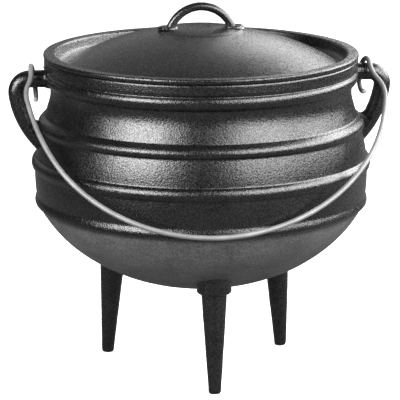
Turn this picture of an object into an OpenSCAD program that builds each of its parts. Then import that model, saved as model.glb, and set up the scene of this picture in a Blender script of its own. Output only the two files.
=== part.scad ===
// Three-legged cast iron cauldron with a wire bail and a dished lid.
// Millimetres, +Z up. The origin lies on the pot's axis, in the plane of the feet.
// The ears lie along X and one leg points to -Y. The bail hangs forward, against the belly.

/* [Body] */
// Height of the rim that the lid rests on
rim_h = 271; // [250:1:300]
// Outer radius of the rim band
rim_r = 133.2; // [120:0.1:150]
// Height of the plain band under the rim
rim_band = 8.5; // [6:0.5:10]
// Thickness of the wall at the mouth
rim_wall = 5.6; // [4.5:0.1:7]
// How far the narrowest part of the neck lies below the rim
neck_drop = 31; // [28:0.5:36]
// How far the neck is drawn in from the rim
neck_in = 5.7; // [3:0.1:9]
// How far the widest part of the belly lies below the rim
belly_drop = 96.1; // [88:0.1:106]
// How far the belly swells past the rim, between its ribs
belly_out = 9; // [5:0.1:14]
// Radius of the upright curve of the lower belly
belly_curve = 179; // [120:1:260]
// Wall thickness of the casting
wall = 5.8; // [4:0.1:6.5]

/* [Bowl] */
// Height of the underside of the bowl at the axis
base_h = 73.6; // [62:0.1:86]
// How far the middle of the bowl's ellipse lies above the lowest rib
bowl_over = 40; // [30:0.1:52]
// How far the bowl steps in under the lowest rib
bowl_step = 0.8; // [0:0.1:4]

/* [Ribs] */
// Height of the groove between the rim band and the first rib
groove_tall = 2.5; // [2:0.1:4]
// Depth of that groove
groove_in = 2.5; // [1.5:0.1:4]
// Height of the first rib, under the rim band, from top to foot
rib1_tall = 11.5; // [8:0.5:13]
// How far the first rib stands out
rib1_out = 3.6; // [1:0.1:5]
// Height of the plain neck between the first rib and the shoulder rib
neck_band = 26.6; // [23:0.1:30]
// Height of the shoulder rib from top to foot
rib2_tall = 10.9; // [8:0.1:14]
// How far the shoulder rib stands out
rib2_out = 4; // [1:0.1:5]
// Height of the plain wall between the shoulder rib and the belly rib
shoulder_band = 23; // [19:0.1:27]
// Height of the belly rib from top to foot
rib3_tall = 10.8; // [8:0.1:14]
// How far the belly rib stands out
rib3_out = 3.1; // [1:0.1:5]
// Height of the plain wall between the belly rib and the lowest rib
belly_band = 22.3; // [19:0.1:26]
// Height of the lowest rib from top to foot
rib4_tall = 9.8; // [7:0.1:13]
// How far the lowest rib stands out
rib4_out = 1.9; // [1:0.1:4]

/* [Legs] */
// Distance of each collar from the axis of the pot
collar_x = 84; // [76:0.1:92]
// How far the middle of a collar's underside lies below the bowl
collar_show = 7.1; // [5:0.1:10]
// Radius of a collar
collar_r = 14.8; // [13.5:0.1:17]
// How far each leg leans in towards its top, in degrees
leg_splay = 3.6; // [0:0.1:8]
// Radius of the end of a leg
foot_r = 5.4; // [4:0.1:8]
// Radius of a leg under its collar
leg_r = 11.2; // [8:0.1:13]

/* [Ears] */
// Radius of the round section of an ear
ear_r = 7.4; // [6:0.1:8]
// How far the level bar of an ear lies below the rim
bar_drop = 16; // [14:0.5:19]
// How far the level bar of an ear stands out from the rim
ear_out = 12.4; // [10:0.1:16]
// Radius of the upper bend, on the centre line
ear_bend = 11; // [9:0.5:14]
// Radius of the long lower bow, on the centre line
ear_bow = 77; // [70:1:85]
// Angle below the level at which the upper bend ends
bend_end = 8; // [4:1:12]
// Angle below the level at which the lower bow runs into the wall
bow_end = 42; // [40:1:44]
// Radius of the fillet where the bar leaves the rim
ear_root = 3.5; // [1:0.5:5]
// Thickness of the web in the lower corner of the ear
web_t = 9; // [5:0.5:12]

/* [Bail] */
// Radius of the wire
wire_r = 2.1; // [1.5:0.1:2.4]
// Room all round between the bar and the eye, when centred
eye_play = 4.8; // [4:0.1:5.2]
// How far inward of the ear's bend the wire leaves the right eye
eye_in_right = 2.2; // [1:0.1:4]
// How far inward of the ear's bend the wire leaves the left eye
eye_in_left = 0.4; // [0:0.1:4]
// How far round the bar the eye reaches, in degrees
eye_turn = 240; // [200:5:260]
// How much each eye is twisted inward, in degrees
eye_twist = 10; // [0:1:12]
// Radius of the two small bends beside each eye
jog_r = 30.2; // [26:0.1:34]
// Lean of the wire between those bends, beside the right eye
jog_right = 30.9; // [28:0.1:34]
// Lean of the wire between those bends, beside the left eye
jog_left = 24.3; // [21:0.1:27]
// Radius of the right side of the hand-bent wire
side_right = 164.5; // [155:0.5:180]
// Radius of the left side of the hand-bent wire
side_left = 291; // [270:1:310]
// How far the crown's circle stays inside the ear's bend
crown_in = 5.7; // [3:0.1:8]
// How far the middle of the crown's circle lies below the eyes
bail_shank = 35.4; // [32:0.1:40]
// How far the crown is bent off the middle, towards the left
crown_off = 4.9; // [0:0.1:8]

/* [Lid] */
// How far the lid reaches past the rim
lid_over = 0.5; // [-1:0.1:3]
// Thickness of the flange that lies on the rim
flange_t = 4.4; // [3.5:0.1:6]
// Width of the flat ring
ring_wide = 9.7; // [8.5:0.1:12]
// Depth of the sunk ring below the flat ring
sink = 9.9; // [6:0.1:12]
// Width of the sunk ring
trough_wide = 8; // [6:0.1:12]
// Rise of the dome above the sunk ring
dome_rise = 30.8; // [20:0.1:40]
// Thickness of the dome
lid_t = 5; // [4:0.1:6]
// How far the low disc on top of the dome reaches past the loop
disc_over = 7.5; // [6:0.1:14]
// How far that disc stands up
disc_up = 0.8; // [0.4:0.1:2]
// Radius of the two bosses that hold the handle
boss_r = 8.5; // [7:0.1:10]
// How far the bosses stand up from the disc
boss_up = 2; // [1:0.1:4]

/* [Lid handle] */
// Radius of the rod
rod_r = 3.6; // [2.5:0.1:4.5]
// Radius of the loop, on the centre line
loop_r = 28; // [24:0.5:32]
// How far the centre of the loop lies below the top of the disc
loop_sink = 11.4; // [9:0.1:14]
// How deep each end of the rod is set in its boss
rod_set = 4.95; // [4:0.05:6]

/* [Hidden] */
$fn = 96;
iron = [0.16, 0.16, 0.17];
rod_iron = [0.25, 0.25, 0.26];
wire_steel = [0.75, 0.75, 0.76];

// Named clearances
seat_gap = 0.7;
cast_gap = 0.05;
hang_gap = 0.55;
lie_gap = 1.05;

// Small rounds of the casting
edge = 1.6;
foot_edge = 1.6;
collar_edge = 2.2;

// How far the ball that joins two bends of a bar or a wire swells past it
swell = 0.03;

mouth_r = rim_r - rim_wall;
mouth_deep = 9;
mouth_slope = 10;
neck_h = rim_h - neck_drop;
neck_r = rim_r - neck_in;
belly_h = rim_h - belly_drop;
belly_r = rim_r + belly_out;
groove_r = rim_r - groove_in;
steps = 8;

// The ribs follow each other down the wall, and the bowl hangs from the foot of the lowest
rib1_top = rim_h - rim_band - groove_tall;
rib1_foot = rib1_top - rib1_tall;
rib2_top = rib1_foot - neck_band;
rib2_foot = rib2_top - rib2_tall;
rib3_top = rib2_foot - shoulder_band;
rib3_foot = rib3_top - rib3_tall;
rib4_top = rib3_foot - belly_band;
rib4_foot = rib4_top - rib4_tall;
bowl_mid = rib4_foot + bowl_over;
bowl_depth = bowl_mid - base_h;

// Unit vector in a plane
function unit(a) = [cos(a), sin(a)];
// Points of an arc in a plane
function arc(c, r, a0, a1, n) = [for (i = [0:n]) c + r * unit(a0 + (a1 - a0) * i / n)];

// Radius of the plain outer wall at a height, without its ribs
function neck_curve(h) = neck_r + pow((h - neck_h) / 8, 2);
function shoulder(h) = neck_r + (belly_r - neck_r) * pow(sin(90 * (neck_h - h) / (neck_h - belly_h)), 1.1);
function lower(h) = belly_r - pow(belly_h - h, 2) / (2 * belly_curve);
function wall_at(h) = h > neck_h ? neck_curve(h) : h > belly_h ? shoulder(h) : lower(h);
// Radius of the bowl's ellipse at its widest: it steps in under the lowest rib
bowl_r = (wall_at(rib4_foot) - bowl_step) / sqrt(1 - pow(bowl_over / bowl_depth, 2));
// Radius of the bowl at a height
function bowl_at(h) = bowl_r * sqrt(max(0, 1 - pow((bowl_mid - h) / bowl_depth, 2)));
// Points of a rib, from its top down, between the wall at its two ends. It is even where low is 1,
// and a higher low moves its crest towards its foot.
function rib(top, tall, out, r0, r1, low) =
    [for (i = [0:steps]) let(k = i / steps)
        [r0 + (r1 - r0) * pow(k, 2 * low - 1) + out * pow(sin(180 * pow(k, low)), 0.6), top - tall * k]];
// Points of the wall between two heights
function stretch(h0, h1, n) = [for (i = [1:n - 1]) let(h = h0 + (h1 - h0) * i / n) [wall_at(h), h]];

bowl_a = asin(bowl_over / bowl_depth);
outer = concat(
    [[0, rim_h]],
    arc([rim_r - edge, rim_h - edge], edge, 90, 0, 3),
    [[rim_r, rim_h - rim_band], [groove_r, rib1_top + 0.6]],
    rib(rib1_top, rib1_tall, rib1_out, groove_r, wall_at(rib1_foot), 1),
    stretch(rib1_foot, rib2_top, 6),
    rib(rib2_top, rib2_tall, rib2_out, wall_at(rib2_top), wall_at(rib2_foot), 1),
    stretch(rib2_foot, rib3_top, 3),
    rib(rib3_top, rib3_tall, rib3_out, wall_at(rib3_top), wall_at(rib3_foot), 1),
    stretch(rib3_foot, rib4_top, 3),
    rib(rib4_top, rib4_tall, rib4_out, wall_at(rib4_top), wall_at(rib4_foot) - bowl_step, 2),
    [for (i = [0:14]) let(h = bowl_mid - bowl_depth * sin(bowl_a + (90 - bowl_a) * i / 14)) [bowl_at(h), h]]
);

// Inside of the pot: the wall and the bowl, each moved in by the wall thickness
hollow_top = rim_h - mouth_deep - mouth_slope;
hollow_mid = rib4_top - 8;
hollow_a = asin((bowl_mid - hollow_mid) / (bowl_depth - wall));
hollow_r = (wall_at(hollow_mid) - wall) / cos(hollow_a);
hollow = concat(
    [[0, rim_h + 1], [mouth_r, rim_h + 1], [mouth_r, rim_h - mouth_deep]],
    [for (i = [0:12]) let(h = hollow_top + (hollow_mid - hollow_top) * i / 12) [wall_at(h) - wall, h]],
    [for (i = [1:12]) let(a = hollow_a + (90 - hollow_a) * i / 12)
        [hollow_r * cos(a), bowl_mid - (bowl_depth - wall) * sin(a)]]
);

collar_h = bowl_mid - bowl_depth * sqrt(1 - pow(collar_x / bowl_r, 2)) - collar_show;
leg_len = collar_h / cos(leg_splay) + 2;
foot_spread = collar_x + collar_h * tan(leg_splay);

module leg() {
    difference() {
        translate([foot_spread, 0, 0])
            rotate([0, -leg_splay, 0])
                rotate_extrude()
                    polygon([
                        [0, -0.4],
                        [foot_r - foot_edge, -0.4],
                        [foot_r - foot_edge * 0.4, 0.2],
                        [foot_r, foot_edge],
                        [leg_r, leg_len],
                        [0, leg_len]
                    ]);
        translate([foot_spread - 2 * collar_r, -2 * collar_r, -10])
            cube([4 * collar_r, 4 * collar_r, 10]);
    }
    translate([collar_x, 0, collar_h])
        rotate_extrude()
            polygon(concat(
                [[0, 0]],
                arc([collar_r - collar_edge, collar_edge], collar_edge, -90, 0, 3),
                [[collar_r, collar_r + 2], [0, collar_r + 2]]
            ));
}

bar_h = rim_h - bar_drop;
ear_x = rim_r + ear_out;
bend_c = [ear_x, bar_h - ear_bend];
bow_c = bend_c - (ear_bow - ear_bend) * unit(-bend_end);
bow_foot = bow_c + ear_bow * unit(-bow_end);
web_top = rib2_top + 1.5;
web_a = asin((bow_c[1] - web_top) / ear_bow);
web_hole = 5;

// One ear in the XZ plane: level bar, tight bend, long bow back to the wall, web and root
module ear() {
    root_x = rim_r - wall;
    translate([root_x, 0, bar_h])
        rotate([0, 90, 0])
            rotate_extrude()
                polygon(concat(
                    [[0, 0], [ear_r + ear_root, 0]],
                    arc([ear_r + ear_root, 4 + ear_root], ear_root, -90, -180, 4),
                    [[ear_r, ear_x - root_x], [0, ear_x - root_x]]
                ));
    translate([ear_x, 0, bar_h])
        rotate([0, 90, 0])
            sphere(r = ear_r + swell);
    rotate([90, 0, 0]) {
        translate(bend_c + ear_bend * unit(-bend_end))
            rotate([90, 0, -bend_end])
                sphere(r = ear_r + swell);
        translate(bend_c)
            rotate([0, 0, -bend_end])
                rotate_extrude(angle = 90 + bend_end)
                    translate([ear_bend, 0])
                        circle(r = ear_r, $fn = 48);
        translate(bow_c)
            rotate([0, 0, -bow_end - 2])
                rotate_extrude(angle = bow_end + 2 - bend_end)
                    translate([ear_bow, 0])
                        circle(r = ear_r, $fn = 48);
        linear_extrude(height = web_t, center = true)
            difference() {
                polygon([
                    [neck_r, web_top],
                    bow_c + ear_bow * unit(-web_a),
                    bow_c + (ear_bow - 2) * unit(-(web_a + bow_end) / 2),
                    bow_foot,
                    [neck_r, bow_foot[1]]
                ]);
                translate([wall_at(rib2_top) + web_hole, web_top + 1])
                    circle(r = web_hole, $fn = 32);
            }
    }
}

module pot() {
    color(iron)
        difference() {
            union() {
                rotate_extrude()
                    polygon(outer);
                for (a = [-90, 30, 150])
                    rotate([0, 0, a])
                        leg();
                ear();
                mirror([1, 0, 0])
                    ear();
            }
            rotate_extrude()
                polygon(hollow);
        }
}

lid_r = rim_r + lid_over;
ring_r = lid_r - ring_wide;
dome_r = ring_r - trough_wide;
disc_r = loop_r + disc_over;
lid_top = rim_h + flange_t;
sink_h = lid_top - sink;
dome_top = sink_h + dome_rise;
dome_R = (dome_r * dome_r + dome_rise * dome_rise) / (2 * dome_rise);
dome_c = [0, dome_top - dome_R];
function dome_a(r) = acos(r / dome_R);
disc_top = dome_top + disc_up;
register_r = mouth_r - seat_gap;
under_h = sink_h - lid_t;

lid_outline = concat(
    arc(dome_c + [0, disc_up], dome_R, 90, dome_a(disc_r - 0.5), 3),
    arc(dome_c, dome_R, dome_a(disc_r + 1), dome_a(dome_r), 9),
    [[dome_r + 1.8, sink_h - 0.7], [dome_r + 3.6, sink_h - 0.4], [ring_r - 1.8, sink_h + 1.6], [ring_r - 1.3, sink_h + 4]],
    [[ring_r - 0.4, lid_top - 0.8], [ring_r + 0.5, lid_top]],
    arc([lid_r - 1.3, lid_top - 1.3], 1.3, 90, 0, 3),
    arc([lid_r - 1.8, rim_h + 1.8], 1.8, 0, -90, 3),
    [[register_r, rim_h], [register_r - 0.5, rim_h - 5], [register_r - 2.5, rim_h - 8.5]],
    [[ring_r - 3.5, under_h - 0.6], [dome_r + 0.5, under_h - 0.6]],
    arc(dome_c, dome_R - lid_t, dome_a(dome_r - 1), 90, 9)
);

loop_h = disc_top - loop_sink;
boss_top = disc_top - loop_r * loop_r / (2 * dome_R) + boss_up;
rod_end = asin((boss_top - rod_set - loop_h) / loop_r);

// The path of the rod, grown by a gap, between two angles above the level
module rod(gap, a0, a1) {
    translate([0, 0, loop_h])
        rotate([90, 0, 0])
            rotate([0, 0, a0])
                rotate_extrude(angle = a1 - a0)
                    translate([loop_r, 0])
                        circle(r = rod_r + gap, $fn = 32);
}

module boss() {
    translate([loop_r, 0, boss_top])
        rotate_extrude()
            polygon(concat(
                [[0, -boss_up - 3], [boss_r + 0.6, -boss_up - 3], [boss_r, -boss_up + 0.6]],
                arc([boss_r - 1.2, -1.2], 1.2, 0, 90, 3),
                [[0, 0]]
            ));
}

module lid() {
    color(iron)
        difference() {
            union() {
                rotate_extrude()
                    polygon(lid_outline);
                boss();
                mirror([1, 0, 0])
                    boss();
            }
            rod(cast_gap, rod_end, 45);
            mirror([1, 0, 0])
                rod(cast_gap, rod_end, 45);
        }
}

module lid_handle() {
    color(rod_iron)
        rod(0, rod_end, 180 - rod_end);
}

eye_r = ear_r + wire_r + eye_play;
eye_drop = eye_play - hang_gap;
side_lean = -8;
haunch_right = -28.4;
haunch_left = -12.5;
crown_r = ear_x - crown_in;
bail_drop = crown_r + bail_shank;

// Angle at which the bail hangs, forward of straight down, where its crown lies on the belly
crown_far = norm([eye_r, eye_drop + bail_drop]);
bail_swing = asin((belly_r + wire_r + lie_gap) / crown_far) - atan2(eye_r, eye_drop + bail_drop);

// Where a bend of a signed radius ends, from a point, a lean and the lean it turns to
function bend_to(p, r, from, to) = p + r * (unit(to) - unit(from));

// One bend of the wire in its own plane, with the ball that joins it to the one before
module wire_bend(p, r, from, to) {
    translate(p - r * unit(from))
        rotate([0, 0, r > 0 ? to : 180 + from])
            rotate_extrude(angle = abs(to - from))
                translate([abs(r), 0])
                    circle(r = wire_r, $fn = 24);
    translate(p)
        rotate([90, 0, from])
            sphere(r = wire_r + swell, $fn = 32);
}

// Half of the bail: eye, two small bends, side, and the bend that meets the crown's circle
module bail_half(eye_in, jog, side, haunch, off) {
    eye_x = ear_x - eye_in;
    p1 = bend_to([eye_x, 0], -jog_r, 0, jog);
    p2 = bend_to(p1, jog_r, jog, side_lean);
    p3 = bend_to(p2, side, side_lean, haunch);
    crown_c = [off, crown_r - bail_drop];
    v = p3 - crown_c;
    haunch_r = (v * v - crown_r * crown_r) / (2 * (v * unit(haunch) - crown_r));
    w = crown_c - (p3 - haunch_r * unit(haunch));
    meet = atan2(w[1], w[0]);
    translate([0, -eye_r, -eye_drop])
        rotate([90, 0, 0]) {
            wire_bend([eye_x, 0], -jog_r, 0, jog);
            wire_bend(p1, jog_r, jog, side_lean);
            wire_bend(p2, side, side_lean, haunch);
            wire_bend(p3, haunch_r, haunch, meet);
            wire_bend(crown_c + crown_r * unit(meet), crown_r, meet, -90);
        }
    translate([eye_x, -eye_r, -eye_drop])
        rotate([0, 0, eye_twist])
            rotate([90, 0, -90])
                translate([-eye_r, 0, 0])
                    rotate_extrude(angle = eye_turn)
                        translate([eye_r, 0])
                            circle(r = wire_r, $fn = 24);
}

module bail() {
    color(wire_steel)
        translate([0, 0, bar_h])
            rotate([-bail_swing, 0, 0]) {
                bail_half(eye_in_right, jog_right, side_right, haunch_right, -crown_off);
                mirror([1, 0, 0])
                    bail_half(eye_in_left, jog_left, side_left, haunch_left, crown_off);
                translate([-crown_off, -eye_r, -eye_drop - bail_drop])
                    rotate([0, 90, 0])
                        sphere(r = wire_r + swell, $fn = 32);
            }
}

pot();
lid();
lid_handle();
bail();
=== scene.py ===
import bpy
import math
import numpy as np
from mathutils import Matrix, Vector


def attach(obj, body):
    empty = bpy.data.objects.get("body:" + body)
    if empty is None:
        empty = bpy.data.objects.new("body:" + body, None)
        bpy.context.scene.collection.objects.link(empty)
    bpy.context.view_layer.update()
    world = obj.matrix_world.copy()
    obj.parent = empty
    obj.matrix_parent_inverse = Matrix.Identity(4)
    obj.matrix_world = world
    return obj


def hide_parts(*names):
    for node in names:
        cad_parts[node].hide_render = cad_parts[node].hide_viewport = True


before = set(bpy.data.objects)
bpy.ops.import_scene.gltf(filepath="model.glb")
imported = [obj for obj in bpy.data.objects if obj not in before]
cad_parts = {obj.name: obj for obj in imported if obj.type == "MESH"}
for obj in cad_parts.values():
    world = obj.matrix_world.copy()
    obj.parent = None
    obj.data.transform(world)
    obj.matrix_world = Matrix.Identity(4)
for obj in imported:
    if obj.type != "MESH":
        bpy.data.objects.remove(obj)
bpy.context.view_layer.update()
scene = bpy.context.scene

# Camera
# The photograph's own view, fitted to the outlines of the pot and its lid: a long lens, a little above
# the lid and a little to the left of the front leg. Lengths are in metres.
CAMERA_RISE = math.radians(13.35)
CAMERA_TURN = math.radians(7.5)
CAMERA_FAR = 2.136
AIM_H = 0.1457
AIM_LEFT = 0.00084
SENSOR_MM = 36.0
FOCAL_PIXELS = 2484.0
PICTURE_PIXELS = 400.0
back = Vector((
    -math.sin(CAMERA_TURN) * math.cos(CAMERA_RISE),
    -math.cos(CAMERA_TURN) * math.cos(CAMERA_RISE),
    math.sin(CAMERA_RISE)))
right = Vector((math.cos(CAMERA_TURN), -math.sin(CAMERA_TURN), 0.0))
up = back.cross(right)
place = Vector((0.0, 0.0, AIM_H)) + back * CAMERA_FAR - right * AIM_LEFT
camera = bpy.data.objects.new("camera", bpy.data.cameras.new("camera"))
camera.matrix_world = Matrix((
    (right.x, up.x, back.x, place.x),
    (right.y, up.y, back.y, place.y),
    (right.z, up.z, back.z, place.z),
    (0, 0, 0, 1)))
camera.data.sensor_width = SENSOR_MM
camera.data.lens = SENSOR_MM * FOCAL_PIXELS / PICTURE_PIXELS
camera.data.clip_start = 0.1
camera.data.clip_end = 60.0
scene.collection.objects.link(camera)
scene.camera = camera


# Cast iron
# Grey iron from a sand mould, blackened with oil: a skin of pebbles about 1.4 mm across, nearly black,
# with a film of oil that shines in specks, and slightly paler patches. The bowl is dry and matt. Its
# paler colour holds painted light from the floor below, and flecks of painted light and shade of its
# pebbles.
PATCH_SCALE = 34.0
# How far the dry bowl and its painted floor light fade in, in metres
DRY_FLOOR_LIT_FADE = 0.003
OIL_DARK = (0.0022, 0.002, 0.0021, 1)
OIL_PALE = (0.0065, 0.006, 0.0062, 1)
# The bowl's colours are pale partly for a dry skin and partly as painted light from the floor below.
DRY_DARK_FLOOR_LIT = (0.050, 0.049, 0.0495, 1)
DRY_PALE_FLOOR_LIT = (0.190, 0.189, 0.1895, 1)


class Value:
    """A number or colour in a shader. Sums and products of it grow Math nodes."""

    def __init__(self, shader, socket):
        self.shader = shader
        self.socket = socket

    def work(self, operation, a, b):
        return self.shader.node("ShaderNodeMath", {"operation": operation}, {0: a, 1: b})

    def __add__(self, other):
        return self.work("ADD", self, other)

    def __radd__(self, other):
        return self.work("ADD", other, self)

    def __sub__(self, other):
        return self.work("SUBTRACT", self, other)

    def __rsub__(self, other):
        return self.work("SUBTRACT", other, self)

    def __mul__(self, other):
        return self.work("MULTIPLY", self, other)

    def __rmul__(self, other):
        return self.work("MULTIPLY", other, self)

    def between(self, low, high):
        """0 below low, 1 above high, smooth between."""
        return self.shader.node(
            "ShaderNodeMapRange", {"interpolation_type": "SMOOTHSTEP"},
            {"Value": self, "From Min": low, "From Max": high})


class Shader:
    """One node material. Its place is the point of the piece, in metres."""

    def __init__(self, name):
        self.material = bpy.data.materials.new(name)
        self.material.use_nodes = True
        self.tree = self.material.node_tree
        self.tree.nodes.clear()
        self.place = self.node("ShaderNodeTexCoord", out="Object")

    def node(self, kind, settings=None, inputs=None, out=0):
        """A node with its settings and the values or links of its sockets. Gives its output out."""
        made = self.tree.nodes.new(kind)
        for name, setting in (settings or {}).items():
            setattr(made, name, setting)
        for name, given in (inputs or {}).items():
            if isinstance(given, Value):
                self.tree.links.new(given.socket, made.inputs[name])
            else:
                made.inputs[name].default_value = given
        return Value(self, made.outputs[out]) if len(made.outputs) else None

    def noise(self, scale, detail, rough):
        return self.node(
            "ShaderNodeTexNoise", None,
            {"Vector": self.place, "Scale": scale, "Detail": detail, "Roughness": rough})

    def mix(self, factor, a, b):
        # A Mix node set to colour has its colour sockets at 6 and 7, and its result at 2.
        return self.node("ShaderNodeMix", {"data_type": "RGBA"}, {0: factor, 6: a, 7: b}, 2)

    def finish(self, inputs):
        skin = self.node("ShaderNodeBsdfPrincipled", None, inputs)
        self.node("ShaderNodeOutputMaterial", None, {"Surface": skin})
        return self.material


def cast_iron(name, grain, depth, dry_floor_lit_below=-1.0):
    """The skin of a casting, with pebbles grain wide and depth high, in metres. Its height is rounded
    cells plus grit of the same size plus a swell a few grains long. The film of oil is a coat in specks
    a little smaller than the pebbles. Below the height in the last argument the iron is matt, flatter and
    paler: a dry skin, whose colour holds painted light from the floor below and flecks of painted light
    and shade of its pebbles."""
    s = Shader(name)
    pebble = s.node(
        "ShaderNodeTexVoronoi", {"feature": "SMOOTH_F1"},
        {"Vector": s.place, "Scale": 1.0 / grain, "Smoothness": 0.25}, "Distance")
    grit = s.noise(1.0 / grain, detail=3.0, rough=0.6)
    speck = s.noise(1.25 / grain, detail=2.0, rough=0.6).between(0.45, 0.57)
    swell = s.noise(0.22 / grain, detail=3.0, rough=0.55)
    patch = s.noise(PATCH_SCALE, detail=4.0, rough=0.6)
    height = (1.0 - pebble) * 0.3 + grit + swell * 0.4
    tone = (patch * 0.4 + swell * 0.2 + grit * 0.4).between(0.40, 0.60)
    oiled = s.mix(tone, OIL_DARK, OIL_PALE)
    # The bowl's colour: painted light from the floor below, with flecks of painted light and shade of its
    # pebbles.
    dry_floor_lit = s.mix(tone * 0.4 + speck * 0.6, DRY_DARK_FLOOR_LIT, DRY_PALE_FLOOR_LIT)
    level = s.node("ShaderNodeSeparateXYZ", None, {"Vector": s.place}, "Z")
    # Where the bowl's matt skin and its painted floor light begin
    oil = level.between(dry_floor_lit_below - DRY_FLOOR_LIT_FADE, dry_floor_lit_below + DRY_FLOOR_LIT_FADE)
    bump = s.node(
        "ShaderNodeBump", None,
        {"Height": height, "Strength": 0.35 + oil * 0.65, "Distance": depth})
    return s.finish({
        "Base Color": s.mix(oil, dry_floor_lit, oiled),
        "Roughness": 0.36 - oil * 0.28 + grit * 0.12 + patch * 0.06,
        "Specular IOR Level": 0.6,
        "Coat Weight": speck * oil,
        "Coat Roughness": 0.38,
        "Normal": bump})


# Pot
# One grey-iron casting: a neck with a waist, a belly and a round bowl, with a groove and four ribs round
# them. The sizes are those of the part's source, in millimetres, and surface() scales them once.
MM = 0.001
BODY = "cauldron"
RIM_H = 271.0
RIM_R = 133.2
RIM_BAND = 8.5
RIM_WALL = 5.6
EDGE = 1.6
WALL = 5.8
# The waist of the neck, and the height above it at which the neck has opened by one millimetre
NECK_DROP = 31.0
NECK_IN = 5.7
NECK_OPEN = 8.0
NECK_H = RIM_H - NECK_DROP
NECK_R = RIM_R - NECK_IN
# The widest place of the belly, and the radius of its curve below that
BELLY_DROP = 96.1
BELLY_OUT = 9.0
BELLY_CURVE = 179.0
BELLY_H = RIM_H - BELLY_DROP
BELLY_R = RIM_R + BELLY_OUT
SHOULDER_POWER = 1.1
# The bowl: its lowest point, the height of its ellipse's middle over the last rib, and its step in
BASE_H = 73.6
BOWL_OVER = 40.0
BOWL_STEP = 0.8
GROOVE_TALL = 2.5
GROOVE_IN = 2.5
GROOVE_LIP = 0.6
GROOVE_R = RIM_R - GROOVE_IN
# Plain wall above each rib, and each rib's height, stand-out and crest, from the rim down. The crest
# is halfway down its rib where it is 1, and lower where it is more.
RIB_PLAIN = np.array([0.0, 26.6, 23.0, 22.3])
RIB_TALL = np.array([11.5, 10.9, 10.8, 9.8])
RIB_OUT = (3.6, 4.0, 3.1, 1.9)
RIB_CREST = (1, 1, 1, 2)
RIB_POWER = 0.6
RIB_FOOT = RIM_H - RIM_BAND - GROOVE_TALL - np.cumsum(RIB_PLAIN + RIB_TALL)
RIB_TOP = RIB_FOOT + RIB_TALL
LAST_RIB = 3
BOWL_MID = RIB_FOOT[LAST_RIB] + BOWL_OVER
BOWL_DEPTH = BOWL_MID - BASE_H
# How much the wall between two ribs is rounded, on the neck and elsewhere
NECK_SOFT = 4.5
WALL_SOFT = 2.0
THIN_BELOW = 130.0
# The mouth goes straight down, and then slopes to the inner wall
MOUTH_R = RIM_R - RIM_WALL
MOUTH_DEEP = 9.0
MOUTH_SLOPE = 10.0
HOLLOW_DROP = 8.0


def unit(angle):
    """(cos a, sin a) of an angle a in degrees."""
    a = np.radians(angle)
    return np.stack([np.cos(a), np.sin(a)], -1)


def arc(centre, radius, a0, a1, n):
    """n points of an arc in a plane: centre + radius (cos a, sin a), a from a0 to a1 in degrees."""
    return np.asarray(centre) + radius * unit(np.linspace(a0, a1, n))


def fine(points, step, soft):
    """A polyline resampled evenly every step, its corners rounded by a Gaussian of width soft."""
    p = np.asarray(points, float)
    tiny = 0.1
    s = np.concatenate([[0], np.cumsum(np.hypot(*np.diff(p, axis=0).T))])
    dense = np.arange(0, s[-1], tiny)
    q = np.stack([np.interp(dense, s, p[:, k]) for k in (0, 1)], -1)
    # The Gaussian ends at four times its width, which is 40 tiny steps to each side per unit of soft.
    reach = int(40 * soft)
    kernel = np.exp(-0.5 * (np.arange(-reach, reach + 1) * tiny / soft) ** 2)
    kernel /= kernel.sum()
    # The ends are extended by point reflection, so that they stay where they are.
    padded = np.concatenate([2 * q[0] - q[reach:0:-1], q, 2 * q[-1] - q[-2:-reach - 2:-1]])
    q = np.stack([np.convolve(padded[:, k], kernel, "valid") for k in (0, 1)], -1)
    q = np.concatenate([[p[0]], q[1:-1], [p[-1]]])
    s = np.concatenate([[0], np.cumsum(np.hypot(*np.diff(q, axis=0).T))])
    at = np.linspace(0, s[-1], int(s[-1] / step) + 2)
    return np.stack([np.interp(at, s, q[:, k]) for k in (0, 1)], -1)


def revolve(profile, around):
    """A profile of radii r_i and heights z_i turned round the axis in around equal steps:
    rows[i, j] = (r_i cos t_j, r_i sin t_j, z_i), with t_j = -2 pi j / around."""
    t = -np.arange(around) * 2 * np.pi / around
    r = profile[:, 0, None]
    z = profile[:, 1, None]
    return np.stack([r * np.cos(t), r * np.sin(t), z + 0 * t], -1)


def facing(rows):
    """Unit normals of a grid that closes round, from the cross product of its two central differences."""
    down = np.gradient(rows, axis=0)
    across = np.roll(rows, -1, axis=1) - np.roll(rows, 1, axis=1)
    n = np.cross(across, down)
    return n / np.maximum(np.linalg.norm(n, axis=-1, keepdims=True), 1e-9)


def cast(rows, amount, size, seed):
    """rows with the unevenness of a sand casting: each point moved in along its normal by amount times
    1.5 - u, where u is the sum of 28 sines in random directions, divided by the square root of 28. Their
    wavelengths go from size to four sizes."""
    waves = 28
    rng = np.random.default_rng(seed)
    k = rng.normal(size=(waves, 3))
    k *= (2 * np.pi / (size * rng.uniform(1, 4, waves)) / np.linalg.norm(k, axis=1))[:, None]
    phase = rng.uniform(0, 2 * np.pi, waves)
    uneven = sum(np.sin(rows @ wave + shift) for wave, shift in zip(k, phase)) / math.sqrt(waves)
    return rows - facing(rows) * (amount * (1.5 - uneven))[..., None]


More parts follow.
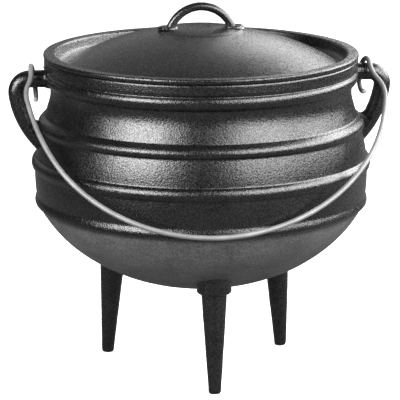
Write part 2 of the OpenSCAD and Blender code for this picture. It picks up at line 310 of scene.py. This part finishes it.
def surface(name, rows, material, body, flip=False, stands_for=None):
    """A piece from a grid in millimetres that closes round its second index. A first or last row of
    equal points becomes one vertex."""
    rows = np.asarray(rows, float) * MM
    n, m = rows.shape[:2]
    points = []
    index = np.zeros((n, m), int)
    count = 0
    for i in range(n):
        pole = i in (0, n - 1) and np.ptp(rows[i], axis=0).max() < 1e-9
        points.append(rows[i, :1] if pole else rows[i])
        index[i] = count if pole else count + np.arange(m)
        count += len(points[-1])
    a = index[:-1]
    b = np.roll(a, -1, axis=1)
    d = index[1:]
    c = np.roll(d, -1, axis=1)
    faces = []
    for i in range(n - 1):
        if a[i, 0] == a[i, 1]:
            faces += np.stack([a[i], c[i], d[i]], -1).tolist()
        elif d[i, 0] == d[i, 1]:
            faces += np.stack([a[i], b[i], d[i]], -1).tolist()
        else:
            faces += np.stack([a[i], b[i], c[i], d[i]], -1).tolist()
    if flip:
        faces = [face[::-1] for face in faces]
    mesh = bpy.data.meshes.new(name)
    mesh.from_pydata(np.concatenate(points).tolist(), [], faces)
    mesh.shade_smooth()
    mesh.materials.append(material)
    made = bpy.data.objects.new(name, mesh)
    scene.collection.objects.link(made)
    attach(made, body)
    if stands_for:
        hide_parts(stands_for)


def wall_at(h):
    """Radius of the plain wall at a height: a parabola above the waist, a sine to the power
    SHOULDER_POWER from there to the belly, and a second parabola below it."""
    neck = NECK_R + ((h - NECK_H) / NECK_OPEN) ** 2
    turn = np.sin(np.radians(90 * np.clip((NECK_H - h) / (NECK_H - BELLY_H), 0, 1)))
    shoulder = NECK_R + (BELLY_R - NECK_R) * turn ** SHOULDER_POWER
    lower = BELLY_R - (BELLY_H - h) ** 2 / (2 * BELLY_CURVE)
    return np.where(h > NECK_H, neck, np.where(h > BELLY_H, shoulder, lower))


def rib(top, tall, out, crest, r0, r1):
    """Points of a rib, k going from 0 at its top to 1 at its foot: the radius is r0 + (r1 - r0) times
    k to the power 2 crest - 1, plus out times sin(180 k^crest) to the power RIB_POWER."""
    k = np.linspace(0, 1, 33)
    swell = np.sin(np.pi * k ** crest).clip(0) ** RIB_POWER
    return np.stack([r0 + (r1 - r0) * k ** (2 * crest - 1) + out * swell, top - tall * k], -1)


def stretch(h0, h1, soft):
    """Points of the plain wall between two heights, its kink at the waist rounded by soft."""
    h = np.linspace(h0, h1, 60)
    return fine(np.stack([wall_at(h), h], -1), step=1.0, soft=soft)[1:-1]


iron = cast_iron("cast_iron", grain=0.0014, depth=0.0003)
# The pot's bowl, below its last rib, is dry and matt, and its colour holds painted floor light.
pot_iron = cast_iron("pot_iron", grain=0.0014, depth=0.0003, dry_floor_lit_below=0.1435)

# The outside, from the edge of the mouth over the groove, the ribs and the bowl to its lowest point
outline = [
    arc((RIM_R - EDGE, RIM_H - EDGE), EDGE, 90, 0, 6),
    [(RIM_R, RIM_H - RIM_BAND), (GROOVE_R, RIB_TOP[0] + GROOVE_LIP)]]
for i in range(LAST_RIB + 1):
    above = wall_at(RIB_TOP[i]) if i > 0 else GROOVE_R
    below = wall_at(RIB_FOOT[i]) - (BOWL_STEP if i == LAST_RIB else 0)
    outline.append(rib(RIB_TOP[i], RIB_TALL[i], RIB_OUT[i], RIB_CREST[i], above, below))
    if i < LAST_RIB:
        outline.append(stretch(RIB_FOOT[i], RIB_TOP[i + 1], WALL_SOFT if i > 0 else NECK_SOFT))
BOWL_R = (wall_at(RIB_FOOT[LAST_RIB]) - BOWL_STEP) / math.sqrt(1 - (BOWL_OVER / BOWL_DEPTH) ** 2)
sweep = np.linspace(math.asin(BOWL_OVER / BOWL_DEPTH), np.pi / 2, 60)
outline.append(np.stack([BOWL_R * np.cos(sweep), BOWL_MID - BOWL_DEPTH * np.sin(sweep)], -1))
outline[-1][-1, 0] = 0.0
shape = fine(np.concatenate(outline), step=0.9, soft=0.3)
# The plain bowl needs only every third row.
kept = (shape[:, 1] > THIN_BELOW) | (np.arange(len(shape))[::-1] % 3 == 0)
outside = cast(revolve(shape[kept], 320), amount=0.05, size=12.0, seed=3)
surface("pot_outside", outside, pot_iron, BODY, stands_for="pot")

# The inside, from the edge of the mouth to the floor of the hollow, one wall in from the outside
HOLLOW_MID = RIB_TOP[LAST_RIB] - HOLLOW_DROP
HOLLOW_DEPTH = BOWL_DEPTH - WALL
HOLLOW_A = math.asin((BOWL_MID - HOLLOW_MID) / HOLLOW_DEPTH)
HOLLOW_R = (wall_at(HOLLOW_MID) - WALL) / math.cos(HOLLOW_A)
h = np.linspace(RIM_H - MOUTH_DEEP - MOUTH_SLOPE, HOLLOW_MID, 30)
sweep = np.linspace(HOLLOW_A, np.pi / 2, 30)
inner = np.concatenate([
    [(RIM_R - EDGE, RIM_H), (MOUTH_R, RIM_H), (MOUTH_R, RIM_H - MOUTH_DEEP)],
    np.stack([wall_at(h) - WALL, h], -1),
    np.stack([HOLLOW_R * np.cos(sweep), BOWL_MID - HOLLOW_DEPTH * np.sin(sweep)], -1)])
inner[-1, 0] = 0.0
inside = cast(revolve(fine(inner, step=4.0, soft=0.3), 200), amount=0.05, size=12.0, seed=5)
surface("pot_inside", inside, iron, BODY, flip=True)


# Legs
# Cast in one with the pot: a stub collar that meets the bowl, and a tapered round leg that leans in
# to it and stands on its flat end.
COLLAR_X = 84.0
COLLAR_R = 14.8
COLLAR_EDGE = 2.2
COLLAR_TALL = 17.0
COLLAR_IN = 6.0
COLLAR_SHOW = 7.1
COLLAR_SUNK = 2.0
COLLAR_H = BOWL_MID - BOWL_DEPTH * math.sqrt(1 - (COLLAR_X / BOWL_R) ** 2) - COLLAR_SHOW
SPLAY = 3.6
FOOT_R = 5.4
FOOT_EDGE = 1.6
LEG_R = 11.2
LEG_SUNK = 2.0
LEG_LONG = COLLAR_H / math.cos(math.radians(SPLAY)) + LEG_SUNK
FOOT_SPREAD = COLLAR_X + COLLAR_H * math.tan(math.radians(SPLAY))
# Where the legs stand round the axis, in degrees
LEG_PLACES = (("front", -90), ("right", 30), ("left", 150))


def leaned(rows, at, degrees, spread):
    """rows leaned in by degrees, moved out by spread, and turned round the axis to the angle at."""
    b = math.radians(-degrees)
    t = math.radians(at)
    x = rows[..., 0] * math.cos(b) + rows[..., 2] * math.sin(b) + spread
    y = rows[..., 1]
    z = rows[..., 2] * math.cos(b) - rows[..., 0] * math.sin(b)
    return np.stack([x * math.cos(t) - y * math.sin(t), x * math.sin(t) + y * math.cos(t), z], -1)


leg_shape = fine([
    (LEG_R, LEG_LONG), (FOOT_R, FOOT_EDGE), (FOOT_R - 0.6, 0.25),
    (FOOT_R - FOOT_EDGE, 0), (0, 0)], step=1.2, soft=0.4)
collar_shape = fine(np.concatenate([
    [(COLLAR_R, COLLAR_TALL)],
    arc((COLLAR_R - COLLAR_EDGE, COLLAR_EDGE), COLLAR_EDGE, 0, -90, 6),
    [(COLLAR_IN, 0)]]), step=0.8, soft=0.3)
for k, (side, at) in enumerate(LEG_PLACES):
    leg = cast(revolve(leg_shape, 64), amount=0.09, size=12.0, seed=20 + k)
    leg = leaned(leg, at, SPLAY, FOOT_SPREAD)
    leg[..., 2] = np.maximum(leg[..., 2], 0)
    surface("leg_" + side, leg, iron, BODY)
    collar = cast(revolve(collar_shape, 96), amount=0.14, size=7.0, seed=30 + k)
    collar = leaned(collar, at, 0, COLLAR_X)
    collar[..., 2] += COLLAR_H
    # The collar's top ends inside the wall of the bowl.
    reach = np.hypot(collar[..., 0], collar[..., 1])
    skin = BOWL_MID - BOWL_DEPTH * np.sqrt(1 - (reach / BOWL_R) ** 2)
    collar[..., 2] = np.minimum(collar[..., 2], skin + COLLAR_SUNK)
    surface("collar_" + side, collar, iron, BODY)


# Ears
# Round bars cast with the pot for the bail to hang on: level at the top with a fillet at the rim, a
# tight bend, and a long bow back to the wall, with a web in the corner above the shoulder rib.
EAR_R = 7.4
BAR_DROP = 16.0
BAR_H = RIM_H - BAR_DROP
EAR_OUT = 12.4
EAR_X = RIM_R + EAR_OUT
EAR_BEND = 11.0
EAR_BOW = 77.0
BEND_END = 8.0
BOW_END = 42.0
BOW_SUNK = 2.0
ROOT_X = RIM_R - WALL
ROOT_STUB = 4.0
ROOT_FILLET = 3.5
WEB_HALF = 4.5
WEB_SUNK = 6.0
HOLE_R = 5.0
HOLE_UP = 2.5
EAR_SUNK = 3.0
EAR_SIDES = 64


def tube(path, radius, sides):
    """A round bar along a path: rows[i, j] = p_i + radius (a_i cos t_j + b_i sin t_j), with a_i and b_i
    carried along the path without twist, and a_0 square to the path and to Y."""
    tangent = np.gradient(path, axis=0)
    tangent /= np.linalg.norm(tangent, axis=1, keepdims=True)
    a = np.cross(tangent[0], (0.0, 1.0, 0.0))
    frames = []
    for t in tangent:
        a = a - t * (a @ t)
        a = a / np.linalg.norm(a)
        frames.append((a, np.cross(t, a)))
    frames = np.array(frames)
    t = np.arange(sides) * 2 * np.pi / sides
    ring = np.cos(t)[:, None] * frames[:, None, 0] + np.sin(t)[:, None] * frames[:, None, 1]
    return path[:, None] + radius * ring


def upright(points):
    """Points of the plane through both ears, as points in space."""
    return np.stack([points[:, 0], 0 * points[:, 0], points[:, 1]], -1)


bend_c = np.array([EAR_X, BAR_H - EAR_BEND])
bow_c = bend_c - (EAR_BOW - EAR_BEND) * unit(-BEND_END)
bar = np.stack([np.linspace(ROOT_X, EAR_X, 40), np.full(40, BAR_H)], -1)
bow = arc(bow_c, EAR_BOW, -BEND_END, -BOW_END - BOW_SUNK, 110)
line = np.concatenate([bar[:-1], arc(bend_c, EAR_BEND, 90, -BEND_END, 30)[:-1], bow])
on_bar = line[:, 1] > BAR_H - 0.01
# The fillet where the bar leaves the rim is a quarter circle.
past = np.clip(line[:, 0] - ROOT_X - ROOT_STUB, 0, ROOT_FILLET)
flare = np.where(on_bar, ROOT_FILLET - np.sqrt(ROOT_FILLET ** 2 - (past - ROOT_FILLET) ** 2), 0)
# The web fills the corner below a round hole that touches the bow and the wall: this is how far it
# reaches inward from the bow's middle, at each angle round the centre of the bow.
hole = np.array([wall_at(RIB_TOP[1]) + HOLE_R, RIB_TOP[1] + HOLE_UP]) - bow_c
hole_far = np.hypot(*hole)
angle = np.arctan2(bow_c[1] - line[:, 1], line[:, 0] - bow_c[0])
angle[:-len(bow)] = 0
below = np.clip(angle - math.atan2(-hole[1], hole[0]), 0, math.asin(HOLE_R / hole_far))
edge = hole_far * np.cos(below) + np.sqrt((HOLE_R ** 2 - (hole_far * np.sin(below)) ** 2).clip(0))
web = np.where(below > 0, EAR_BOW - edge, EAR_R).clip(EAR_R)
deep = np.maximum.accumulate((web - EAR_R) / (web.max() - EAR_R))
beyond = np.maximum.accumulate(angle > angle[np.argmax(web)])
web = EAR_R + deep * (web.max() - EAR_R) + WEB_SUNK * beyond
# One ear, each ring of it grown by the fillet and drawn inward and thinned by the web
middle = upright(line)[:, None]
spread = tube(middle[:, 0], 1.0, EAR_SIDES) - middle
inward = np.clip(-np.cos(np.arange(EAR_SIDES) * 2 * np.pi / EAR_SIDES), 0, 1)
grown = (EAR_R + flare)[:, None] + inward ** 1.5 * (web - EAR_R)[:, None]
thin = 1 - (1 - WEB_HALF / EAR_R) * deep[:, None] * inward ** 0.5
ear = middle + spread * np.stack([grown, (EAR_R + flare)[:, None] * thin, grown], -1)
# The fillet doesn't reach below the bar, where the first rib ends.
lowest = np.where(on_bar, BAR_H - EAR_R, 0.0)
ear[..., 2] = np.maximum(ear[..., 2], lowest[:, None])
# What would come out inside the pot stays in its wall.
least = wall_at(ear[..., 2]) - EAR_SUNK
ear[..., 0] = np.maximum(ear[..., 0], np.sqrt(least ** 2 - ear[..., 1] ** 2))
for side, sign in (("right", 1), ("left", -1)):
    rough_ear = cast(ear, amount=0.06, size=12.0, seed=40 + sign)
    rough_ear[..., 0] *= sign
    surface("ear_" + side, rough_ear, iron, BODY, flip=sign < 0)


# Lid
# A second grey-iron casting: a flat rim that lies on the pot's, a sunk ring inside it, a shallow dome, a
# low disc on top with two round bosses for the handle, and a register below that keeps it in the mouth.
LID_OVER = 0.5
LID_R = RIM_R + LID_OVER
FLANGE_T = 4.4
LID_TOP = RIM_H + FLANGE_T
LID_EDGE = 1.3
LID_LIP = 1.8
LID_T = 5.0
RING_WIDE = 9.7
RING_R = LID_R - RING_WIDE
SINK = 9.9
SINK_H = LID_TOP - SINK
TROUGH_WIDE = 8.0
DOME_EDGE = RING_R - TROUGH_WIDE
DOME_RISE = 30.8
DOME_TOP = SINK_H + DOME_RISE
DOME_R = (DOME_EDGE ** 2 + DOME_RISE ** 2) / (2 * DOME_RISE)
DOME_C = np.array([0.0, DOME_TOP - DOME_R])
LOOP_R = 28.0
DISC_OVER = 7.5
DISC_R = LOOP_R + DISC_OVER
DISC_UP = 0.8
DISC_TOP = DOME_TOP + DISC_UP
SEAT_GAP = 0.7
REGISTER_R = MOUTH_R - SEAT_GAP
UNDER_DROP = 0.6
UNDER_H = SINK_H - LID_T - UNDER_DROP
BOSS_R = 8.5
BOSS_UP = 2.0
BOSS_EDGE = 1.2
BOSS_TOP = DISC_TOP - LOOP_R ** 2 / (2 * DOME_R) + BOSS_UP


def dome_a(r):
    """Angle round the dome's centre at which the dome has the radius r, in degrees."""
    return math.degrees(math.acos(r / DOME_R))


lid_iron = cast_iron("lid_iron", grain=0.0015, depth=0.00034)

# The disc, the dome, the floor of the sunk ring, the slope up to the flat rim, and the rim's edge
lid_shape = np.concatenate([
    arc(DOME_C + (0, DISC_UP), DOME_R, 90, dome_a(DISC_R - 0.5), 20),
    arc(DOME_C, DOME_R, dome_a(DISC_R + 1), dome_a(DOME_EDGE), 60),
    [(DOME_EDGE + 1.8, SINK_H - 0.7), (DOME_EDGE + 3.6, SINK_H - 0.4), (RING_R - 1.8, SINK_H + 1.6)],
    [(RING_R - 1.3, SINK_H + 4), (RING_R - 0.4, LID_TOP - 0.8), (RING_R + 0.5, LID_TOP)],
    arc((LID_R - LID_EDGE, LID_TOP - LID_EDGE), LID_EDGE, 90, 0, 6),
    arc((LID_R - LID_LIP, RIM_H + LID_LIP), LID_LIP, 0, -90, 6)])
lid_shape[0, 0] = 0.0
lid_top = cast(revolve(fine(lid_shape, step=0.9, soft=0.35), 360), amount=0.04, size=12.0, seed=7)
surface("lid_top", lid_top, lid_iron, BODY, stands_for="lid")

# The seat on the rim, the register, the underside of the sunk ring, and the hollow of the dome
lid_below = np.concatenate([
    [(LID_R - LID_LIP, RIM_H), (REGISTER_R, RIM_H), (REGISTER_R - 0.5, RIM_H - 5)],
    [(REGISTER_R - 2.5, RIM_H - 8.5), (RING_R - 3.5, UNDER_H), (DOME_EDGE + 0.5, UNDER_H)],
    arc(DOME_C, DOME_R - LID_T, dome_a(DOME_EDGE - 1), 90, 40)])
lid_below[-1, 0] = 0.0
lid_under = cast(revolve(fine(lid_below, step=3.0, soft=0.3), 200), amount=0.04, size=12.0, seed=9)
surface("lid_under", lid_under, lid_iron, BODY)

boss_shape = fine(np.concatenate([
    [(0, 0)],
    arc((BOSS_R - BOSS_EDGE, -BOSS_EDGE), BOSS_EDGE, 90, 0, 6),
    [(BOSS_R, 0.6 - BOSS_UP), (BOSS_R + BOSS_EDGE, -BOSS_UP - 0.8)]]), step=0.5, soft=0.35)
boss_shape[0, 0] = 0.0
for side, sign in (("right", 1), ("left", -1)):
    boss = revolve(boss_shape, 72) + np.array([sign * LOOP_R, 0, BOSS_TOP])
    boss = cast(boss, amount=0.05, size=5.0, seed=50 + sign)
    surface("boss_" + side, boss, lid_iron, BODY)


# Lid handle
# A bent round steel rod, blackened with the lid, its two ends held in the bosses by the iron cast
# round them.
ROD_R = 3.6
ROD_SET = 4.95
LOOP_SINK = 11.4
LOOP_H = DISC_TOP - LOOP_SINK
ROD_END = math.degrees(math.asin((BOSS_TOP - ROD_SET - LOOP_H) / LOOP_R))
END_FLAT = 0.8
END_CHAMFER = 0.3


def closed_end(rows):
    """rows with a small chamfer and a pole added at each end, for a bar that is cut square."""
    ends = []
    for ring, nearer in ((rows[0], rows[1]), (rows[-1], rows[-2])):
        centre = ring.mean(0)
        along = (centre - nearer.mean(0)) / np.linalg.norm(centre - nearer.mean(0))
        flat = centre + (ring - centre) * END_FLAT
        ends.append([np.broadcast_to(centre, ring.shape), flat, ring - along * END_CHAMFER])
    return np.concatenate([np.stack(ends[0]), rows[1:-1], np.stack(ends[1][::-1])])


rod_iron = cast_iron("rod_iron", grain=0.0010, depth=0.0002)
loop = upright(arc((0, LOOP_H), LOOP_R, ROD_END, 180 - ROD_END, 120))
rod = cast(closed_end(tube(loop, ROD_R, 40)), amount=0.04, size=8.0, seed=60)
surface("lid_handle_rod", rod, rod_iron, BODY, stands_for="lid_handle")


# Bail
# Bright drawn steel wire, bent by hand: an open eye round each ear's bar, two small bends beside it,
# and one long bow. It hangs forward against the belly.
WIRE_R = 2.1
EYE_PLAY = 4.8
EYE_R = EAR_R + WIRE_R + EYE_PLAY
HANG_GAP = 0.55
EYE_DROP = EYE_PLAY - HANG_GAP
EYE_TURN = 240.0
EYE_TWIST = math.radians(10.0)
JOG_R = 30.2
SIDE_LEAN = -8.0
CROWN_IN = 5.7
CROWN_R = EAR_X - CROWN_IN
CROWN_OFF = 4.9
BAIL_SHANK = 35.4
BAIL_DROP = CROWN_R + BAIL_SHANK
LIE_GAP = 1.05
# Place of the eye, lean beside it, radius of the side and lean at its end, right (1) and left (-1)
SIDES = {1: (EAR_X - 2.2, 30.9, 164.5, -28.4), -1: (EAR_X - 0.4, 24.3, 291.0, -12.5)}
STREAK_SCALE = 900.0
DULL_SCALE = 60.0
STEEL_DULL = (0.25, 0.25, 0.253, 1)
STEEL_BRIGHT = (0.34, 0.34, 0.343, 1)


def bend(start, radius, lean0, lean1, n):
    """Points of one bend: start + radius (unit(lean) - unit(lean0)), the lean going from lean0 to lean1."""
    return start + radius * (unit(np.linspace(lean0, lean1, n)) - unit(lean0))


def half_bail(sign):
    """One half of the wire, from the end of its eye to the crown, hanging straight down: the twisted
    circle of the eye, and then arcs that each go on in the direction in which the last one ends."""
    eye_x, jog, side, haunch = SIDES[sign]
    first = bend(np.array([eye_x, 0.0]), -JOG_R, 0.0, jog, 24)
    second = bend(first[-1], JOG_R, jog, SIDE_LEAN, 24)
    flank = bend(second[-1], side, SIDE_LEAN, haunch, 60)
    # The next arc has the radius r with which it touches the crown's circle, at the lean meet.
    crown_c = np.array([-sign * CROWN_OFF, CROWN_R - BAIL_DROP])
    v = flank[-1] - crown_c
    r = (v @ v - CROWN_R ** 2) / (2 * (v @ unit(haunch) - CROWN_R))
    w = crown_c - (flank[-1] - r * unit(haunch))
    meet = math.degrees(math.atan2(w[1], w[0]))
    turn = bend(flank[-1], r, haunch, meet, 60)
    last = bend(crown_c + CROWN_R * unit(meet), CROWN_R, meet, -90, 24)
    flat = np.concatenate([first[:-1], second[:-1], flank[:-1], turn[:-1], last])
    run = np.stack([flat[:, 0], np.full(len(flat), -EYE_R), flat[:, 1] - EYE_DROP], -1)
    out = np.array([math.sin(EYE_TWIST), -math.cos(EYE_TWIST), 0.0])
    p = np.radians(np.linspace(EYE_TURN, 0, 90))[:-1, None]
    eye = run[0] - EYE_R * out + EYE_R * (out * np.cos(p) + np.array([0.0, 0.0, 1.0]) * np.sin(p))
    whole = np.concatenate([eye, run])
    whole[:, 0] *= sign
    return whole


# The whole wire, in even steps
wire = np.concatenate([half_bail(1), half_bail(-1)[::-1][1:]])
travel = np.concatenate([[0], np.cumsum(np.linalg.norm(np.diff(wire, axis=0), axis=1))])
even = np.linspace(0, travel[-1], 900)
wire = np.stack([np.interp(even, travel, wire[:, k]) for k in range(3)], -1)
# It is swung round the bars until its crown stands LIE_GAP clear of the belly's greatest radius.
crown_far = math.hypot(EYE_R, EYE_DROP + BAIL_DROP)
hang = math.atan2(EYE_R, EYE_DROP + BAIL_DROP) - math.asin((BELLY_R + WIRE_R + LIE_GAP) / crown_far)
wire = np.stack([
    wire[:, 0],
    wire[:, 1] * math.cos(hang) - wire[:, 2] * math.sin(hang),
    wire[:, 1] * math.sin(hang) + wire[:, 2] * math.cos(hang) + BAR_H], -1)

steel = Shader("wire_steel")
streak = steel.noise(STREAK_SCALE, detail=3.0, rough=0.6)
dull = steel.noise(DULL_SCALE, detail=3.0, rough=0.6)
wire_steel = steel.finish({
    "Base Color": steel.mix(dull.between(0.35, 0.7), STEEL_DULL, STEEL_BRIGHT),
    "Metallic": 0.5,
    "Roughness": 0.50 + dull * 0.12,
    "Normal": steel.node("ShaderNodeBump", None, {"Height": streak, "Strength": 0.4, "Distance": 0.0001})})
surface("bail_wire", closed_end(tube(wire, WIRE_R, 28)), wire_steel, "swinging_bail", stands_for="bail")


# Floor and light
# A plain white floor that keeps a faint shadow, in a dim room with six soft lights: one each to the
# right, far right and left, one behind on the right that the lid shines in, and two faint ones behind.
POT_MIDDLE = Vector((0, 0, 0.17))
FLOOR_HALF = 8
ROOM = 0.035
BACKDROP = 1.0


def soft_light(name, turn, rise, away, wide, tall, radiance):
    """A rectangular light that faces the middle of the pot from a distance away, in metres, at the
    angles turn round from the camera and rise above the level, in degrees."""
    lamp = bpy.data.objects.new(name, bpy.data.lights.new(name, "AREA"))
    lamp.data.shape = "RECTANGLE"
    lamp.data.size = wide
    lamp.data.size_y = tall
    lamp.data.energy = radiance * math.pi * wide * tall
    lamp.visible_camera = False
    t = math.radians(turn) - CAMERA_TURN
    e = math.radians(rise)
    towards = Vector((math.sin(t) * math.cos(e), -math.cos(t) * math.cos(e), math.sin(e)))
    lamp.location = POT_MIDDLE + towards * away
    lamp.rotation_euler = towards.to_track_quat("Z", "Y").to_euler()
    scene.collection.objects.link(lamp)


soft_light("right_light", turn=46, rise=28, away=1.7, wide=1.3, tall=1.2, radiance=8.0)
soft_light("side_light", turn=107, rise=28, away=1.7, wide=2.2, tall=1.1, radiance=7.6)
soft_light("left_light", turn=-44, rise=22, away=1.7, wide=1.15, tall=0.85, radiance=13.5)
soft_light("back_light", turn=159, rise=28, away=1.8, wide=0.9, tall=0.75, radiance=2.8)
soft_light("rear_light", turn=205, rise=20, away=1.8, wide=1.6, tall=0.9, radiance=0.28)
soft_light("top_light", turn=180, rise=54, away=1.8, wide=1.8, tall=1.3, radiance=0.25)

# The floor glows mostly for the camera, so that it looks white and hardly lights the pot from below.
floor_shader = Shader("floor")
ray = floor_shader.node("ShaderNodeLightPath", out="Is Camera Ray")
glow = floor_shader.node("ShaderNodeEmission", None, {"Strength": 0.03 + ray * 0.8})
shade = floor_shader.mix(ray, (0.10, 0.10, 0.10, 1), (0.8, 0.8, 0.8, 1))
white = floor_shader.node("ShaderNodeBsdfDiffuse", None, {"Color": shade})
floor_sum = floor_shader.node("ShaderNodeAddShader", None, {0: white, 1: glow})
floor_shader.node("ShaderNodeOutputMaterial", None, {"Surface": floor_sum})
corners = [(FLOOR_HALF * x, FLOOR_HALF * y, 0) for x, y in ((-1, -1), (1, -1), (1, 1), (-1, 1))]
floor_mesh = bpy.data.meshes.new("floor")
floor_mesh.from_pydata(corners, [], [(0, 1, 2, 3)])
floor_mesh.materials.append(floor_shader.material)
floor = bpy.data.objects.new("floor", floor_mesh)
scene.collection.objects.link(floor)

# The room is a bright backdrop for the camera, and dim for everything else.
scene.world = bpy.data.worlds.new("studio")
scene.world.use_nodes = True
tree = scene.world.node_tree
tree.nodes.clear()
path = tree.nodes.new("ShaderNodeLightPath")
level = tree.nodes.new("ShaderNodeMapRange")
level.inputs["To Min"].default_value = ROOM
level.inputs["To Max"].default_value = BACKDROP
sky = tree.nodes.new("ShaderNodeBackground")
sky.inputs["Color"].default_value = (1, 1, 1, 1)
end = tree.nodes.new("ShaderNodeOutputWorld")
tree.links.new(path.outputs["Is Camera Ray"], level.inputs["Value"])
tree.links.new(level.outputs[0], sky.inputs["Strength"])
tree.links.new(sky.outputs[0], end.inputs["Surface"])

scene.view_settings.view_transform = "Standard"
